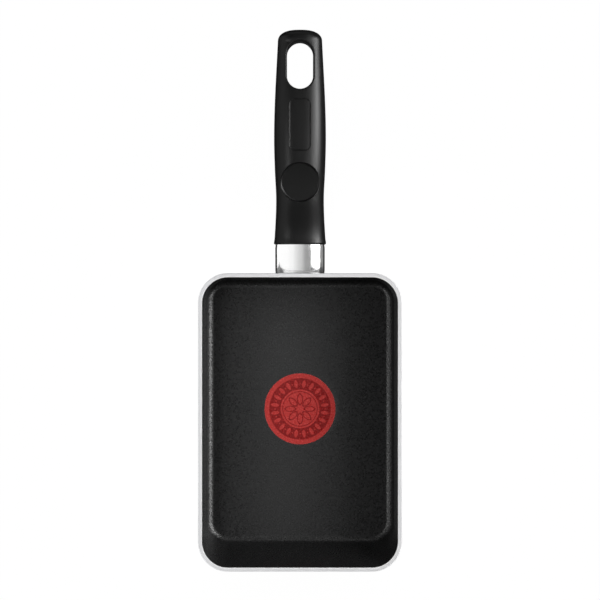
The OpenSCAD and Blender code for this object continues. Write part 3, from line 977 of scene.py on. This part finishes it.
def aluminium_material(name, colour, roughness, depth):
    """Satin aluminium, with slightly darker patches and a fine grain in its roughness and bump."""
    material, tree, shader = new_material(name)
    shader.inputs["Metallic"].default_value = 1
    darker = tuple(PATCH_SHADE * c for c in colour)
    patches = noise(tree, scale=90, detail=3)
    tree.links.new(two_colours(tree, patches, darker, colour), shader.inputs["Base Color"])
    fine = noise(tree, scale=2600, detail=2)
    span = (roughness - ROUGHNESS_SPREAD, roughness + ROUGHNESS_SPREAD)
    tree.links.new(mapped(tree, fine, *span), shader.inputs["Roughness"])
    bump(tree, shader, fine, depth)
    return material


def turned_base_material():
    """Turned aluminium of the resting face: fine circles round the middle of the floor."""
    material, tree, shader = new_material("turned_aluminium")
    shader.inputs["Metallic"].default_value = 1
    circles = add(tree, "ShaderNodeTexWave", wave_type="RINGS", rings_direction="Z")
    for socket, value in (("Scale", 520), ("Distortion", 0.4), ("Detail Scale", 40)):
        circles.inputs[socket].default_value = value
    tree.links.new(moved(tree, "SUBTRACT", (0, FLOOR_MID * MM, 0)), circles.inputs["Vector"])
    patches = noise(tree, scale=70, detail=4)
    greys = ((0.62, 0.62, 0.63), (0.74, 0.74, 0.75))
    tree.links.new(two_colours(tree, patches, *greys), shader.inputs["Base Color"])
    tree.links.new(mapped(tree, circles.outputs["Fac"], 0.3, 0.42), shader.inputs["Roughness"])
    bump(tree, shader, circles.outputs["Fac"], depth=0.02)
    return material


def polished_steel_material():
    """Polished sleeve with faint long scratches along it."""
    material, tree, shader = new_material("polished_sleeve")
    shader.inputs["Metallic"].default_value = 1
    shader.inputs["Base Color"].default_value = (0.86, 0.86, 0.86, 1)
    scratches = noise(tree, scale=2600, detail=3, place=moved(tree, "MULTIPLY", (1, 0.06, 1)))
    tree.links.new(mapped(tree, scratches, 0.14, 0.22), shader.inputs["Roughness"])
    bump(tree, shader, scratches, depth=0.001)
    return material


def patchy_material(name, colours, patches, roughness, grain, depth, metallic=0):
    """A surface whose colour and roughness drift over the same patches, under a finer grain.

    Patches and grain each give the scale and the detail of a noise."""
    material, tree, shader = new_material(name)
    shader.inputs["Metallic"].default_value = metallic
    drift = noise(tree, *patches)
    tree.links.new(two_colours(tree, drift, *colours), shader.inputs["Base Color"])
    tree.links.new(mapped(tree, drift, *roughness), shader.inputs["Roughness"])
    bump(tree, shader, noise(tree, *grain), depth)
    return material


def use_material(piece, *materials):
    """Puts the materials in the piece's slots, without a change to the slots that its faces read."""
    while len(piece.data.materials) < len(materials):
        piece.data.materials.append(None)
    for i in range(len(piece.data.materials)):
        piece.data.materials[i] = materials[min(i, len(materials) - 1)]


# Stage
def add_light(name, angles, front, back, radiance, receivers, distance, turn):
    """Soft panel of an even radiance that faces the object.

    It spans the two angles, which are degrees from the zenith towards +X, and runs from front to back along
    Y, in metres. All of that is turned round Z by the turn, in degrees. Only the receivers are lit."""
    turned_by = Matrix.Rotation(math.radians(turn), 3, "Z")
    centre = Vector((0, (front + back) / 2, LIGHT_AIM_Z))
    angle = math.radians(sum(angles) / 2)
    width = 2 * distance * math.tan(math.radians((angles[1] - angles[0]) / 2))
    length = back - front
    data = bpy.data.lights.new(name, "AREA")
    data.shape = "RECTANGLE"
    data.size = width
    data.size_y = length
    data.energy = radiance * math.pi * width * length
    light = bpy.data.objects.new(name, data)
    light.location = turned_by @ (centre + distance * Vector((math.sin(angle), 0, math.cos(angle))))
    light.rotation_euler = (0, angle, math.radians(turn))
    light.visible_camera = False
    bpy.context.scene.collection.objects.link(light)
    lit = bpy.data.collections.new(name + "_receivers")
    for piece in receivers:
        lit.objects.link(piece)
    light.light_linking.receiver_collection = lit


def add_lights(lights, receivers, distance=LIGHT_DISTANCE, turn=0):
    """Adds lights, each a name, a span of angles, a front, a back and a radiance."""
    for name, angles, front, back, radiance in lights:
        add_light(name, angles, front, back, radiance, receivers, distance, turn)


def stage_piece(name, points, faces, strength):
    """A white piece that glows and shows in no reflection."""
    mesh = bpy.data.meshes.new(name)
    mesh.from_pydata(points, [], faces)
    piece = bpy.data.objects.new(name, mesh)
    bpy.context.scene.collection.objects.link(piece)
    material = bpy.data.materials.new(name)
    material.use_nodes = True
    shader = material.node_tree.nodes["Principled BSDF"]
    shader.inputs["Base Color"].default_value = (STAGE_GREY, STAGE_GREY, STAGE_GREY, 1)
    shader.inputs["Roughness"].default_value = 1
    shader.inputs["Specular IOR Level"].default_value = 0
    shader.inputs["Emission Color"].default_value = (1, 1, 1, 1)
    shader.inputs["Emission Strength"].default_value = strength
    mesh.materials.append(material)
    piece.visible_glossy = False
    return piece


def stage_ring(up):
    """A level ring of the dome round the object, at an angle up from the floor."""
    turns = np.linspace(0, math.tau, STAGE_POINTS, endpoint=False)
    r = STAGE_R * math.cos(up)
    z = STAGE_LEVEL + STAGE_R * math.sin(up)
    return np.column_stack([r * np.cos(turns), r * np.sin(turns), np.full(STAGE_POINTS, z)])


def make_stage():
    """A white floor, and a white backdrop that only the camera sees."""
    stage_piece("floor", stage_ring(0).tolist(), [tuple(range(STAGE_POINTS))], FLOOR_GLOW)
    angles = np.linspace(0, math.pi / 2 - BACKDROP_HOLE, BACKDROP_RINGS)
    points, faces = loft([stage_ring(up) for up in angles])
    backdrop = stage_piece("backdrop", points.tolist(), faces, BACKDROP_GLOW)
    backdrop.visible_diffuse = False
    backdrop.visible_shadow = False
    backdrop.visible_transmission = False


def make_camera():
    """Straight above the object, with the handle up the picture."""
    data = bpy.data.cameras.new("camera")
    data.sensor_width = SENSOR
    data.lens = LENS
    data.clip_start = NEAREST_SEEN
    data.clip_end = FARTHEST_SEEN
    camera = bpy.data.objects.new("camera", data)
    camera.location = CAMERA_PLACE
    bpy.context.scene.collection.objects.link(camera)
    bpy.context.scene.camera = camera


def make_world(radiance):
    world = bpy.data.worlds.new("world")
    world.use_nodes = True
    background = world.node_tree.nodes["Background"]
    background.inputs["Color"].default_value = (1, 1, 1, 1)
    background.inputs["Strength"].default_value = radiance
    bpy.context.scene.world = world


make_camera()
bpy.context.scene.view_settings.view_transform = "Standard"

black_coating = cooking_coating_material(
    "cooking_coating_surface", (0.006, 0.006, 0.0061), (0.014, 0.014, 0.0141))
enamel = patchy_material(
    "outside_enamel", colours=((0.011, 0.011, 0.012), (0.017, 0.017, 0.018)),
    patches=(45, 3), roughness=(0.3, 0.37), grain=(900, 2), depth=0.02)
phenolic = patchy_material(
    "moulded_phenolic", colours=((0.005, 0.005, 0.005), (0.008, 0.008, 0.008)),
    patches=(40, 3), roughness=(0.29, 0.36), grain=(1800, 2), depth=0.012)
plated = patchy_material(
    "plated_steel", colours=((0.55, 0.55, 0.54), (0.68, 0.68, 0.68)),
    patches=(400, 3), roughness=(0.22, 0.36), grain=(2400, 2), depth=0.01, metallic=1)
machined = patchy_material(
    "stud_aluminium_surface", colours=((0.5, 0.5, 0.5), (0.64, 0.64, 0.65)),
    patches=(250, 4), roughness=(0.35, 0.5), grain=(1300, 3), depth=0.03, metallic=1)

shell = pan_shell()
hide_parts("pan_body")
use_material(
    shell,
    aluminium_material("rim_aluminium", colour=(0.78, 0.78, 0.79), roughness=0.38, depth=0.01),
    aluminium_material("rim_bevel_aluminium", colour=(0.8, 0.8, 0.8), roughness=0.45, depth=0.01),
    turned_base_material(),
    black_coating)
for polygon in shell.data.polygons:
    if polygon.center.z < BARE_FOOT * MM:
        polygon.material_index = BASE_SLOT

lining = inside_coating()
use_material(lining, black_coating)

skin = outside_coating()
use_material(skin, enamel)

spot = spot_pieces()
for shade, pieces in spot.items():
    surface = cooking_coating_material("heat_spot_" + shade, *SPOT_COLOURS[shade], SPOT_GLOSS)
    for piece in pieces:
        use_material(piece, surface)

tube = sleeve()
use_material(tube, polished_steel_material())

moulding = handle()
use_material(moulding, phenolic)

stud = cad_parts["handle_stud"]
use_material(stud, machined)
fasteners = [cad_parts[node] for node in ("handle_screw", "spring_washer", "plain_washer")]
for piece in fasteners:
    use_material(piece, plated)

dark_inside = [lining] + [piece for pieces in spot.values() for piece in pieces]
bright_parts = [shell, skin, tube, stud] + fasteners
add_lights((
    ("key", (25, 74), -0.72, 1.1, 5.5),
    ("left", (-75, -24), -1.5, 1.7, 1.12),
    ("low_left", (-117, -75), -1.5, 1.7, 1.3),
    ("left_edge", (-24, -8), -1.5, 1.7, 1.06),
    ("left_edge_soft", (-8, 0), -1.5, 1.7, 0.87),
    ("top_soft", (0, 4), -1.5, 1.7, 0.53),
    ("top", (4, 24), -1.5, 1.7, 0.29),
    ("low_right", (74, 120), -1.5, 1.7, 0.27)), bright_parts)
add_lights((
    ("wall_sheen_left", (5, 48), 0.1, 2.2, 13),
    ("wall_sheen_right", (5, 48), -1.5, 0.1, 4)), [skin], turn=90)
add_lights((
    ("pan_over_left", (-14, 0), -0.095, 0.08, 0.76),
    ("pan_over_right", (0, 14), -0.095, 0.08, 0.27)), dark_inside, distance=0.12)
add_lights((
    ("pan_over_back", (-14, 7), 0.01, 0.08, 0.27),), dark_inside, distance=0.125)
add_lights((
    ("pan_key", (40, 74), -0.9, 0.4, 6),
    ("pan_key_back", (40, 74), 0.4, 1.5, 12),
    ("pan_key_high", (25, 40), -0.9, 1.5, 0.55),
    ("pan_left", (-50, -32), -0.5, 0.4, 0.9),
    ("pan_left_high", (-32, -16), -0.5, 0.4, 3.2),
    ("pan_left_front", (-50, -18), -0.9, -0.5, 4.2),
    ("pan_low_left", (-75, -50), -0.9, 1.5, 1.1)), dark_inside)
add_lights((
    ("pan_far_end", (55, 75), -1, 1, 0.9),), dark_inside, turn=90)
add_lights((
    ("handle_key", (40, 55), -0.56, 0.4, 9.5),
    ("handle_key_low", (55, 74), -0.5, 0.4, 3.9),
    ("handle_key_high", (25, 40), -0.5, 0.4, 3.2),
    ("handle_key_front", (25, 40), -0.9, -0.5, 5.5),
    ("handle_left", (-75, -32), -2.6, 1.5, 0.38),
    ("handle_left_front", (-32, -18), -0.9, -0.5, 3.6),
    ("handle_top", (4, 25), -0.5, 0.4, 0.2),
    ("handle_top_front", (4, 25), -0.9, -0.5, 1.4),
    ("handle_top_back", (14, 25), 0.4, 1.5, 1.4),
    ("handle_side_left", (-110, -75), -2.6, 1.5, 0.2),
    ("handle_side_right", (75, 110), -0.9, 1.5, 0.13)), [moulding])
add_lights((
    ("handle_far_end", (48, 82), -1, 1, 0.22),), [moulding], turn=90)
add_lights((
    ("handle_near_end", (48, 82), -1, 1, 0.2),), [moulding], turn=-90)
make_world(WORLD_RADIANCE)
make_stage()
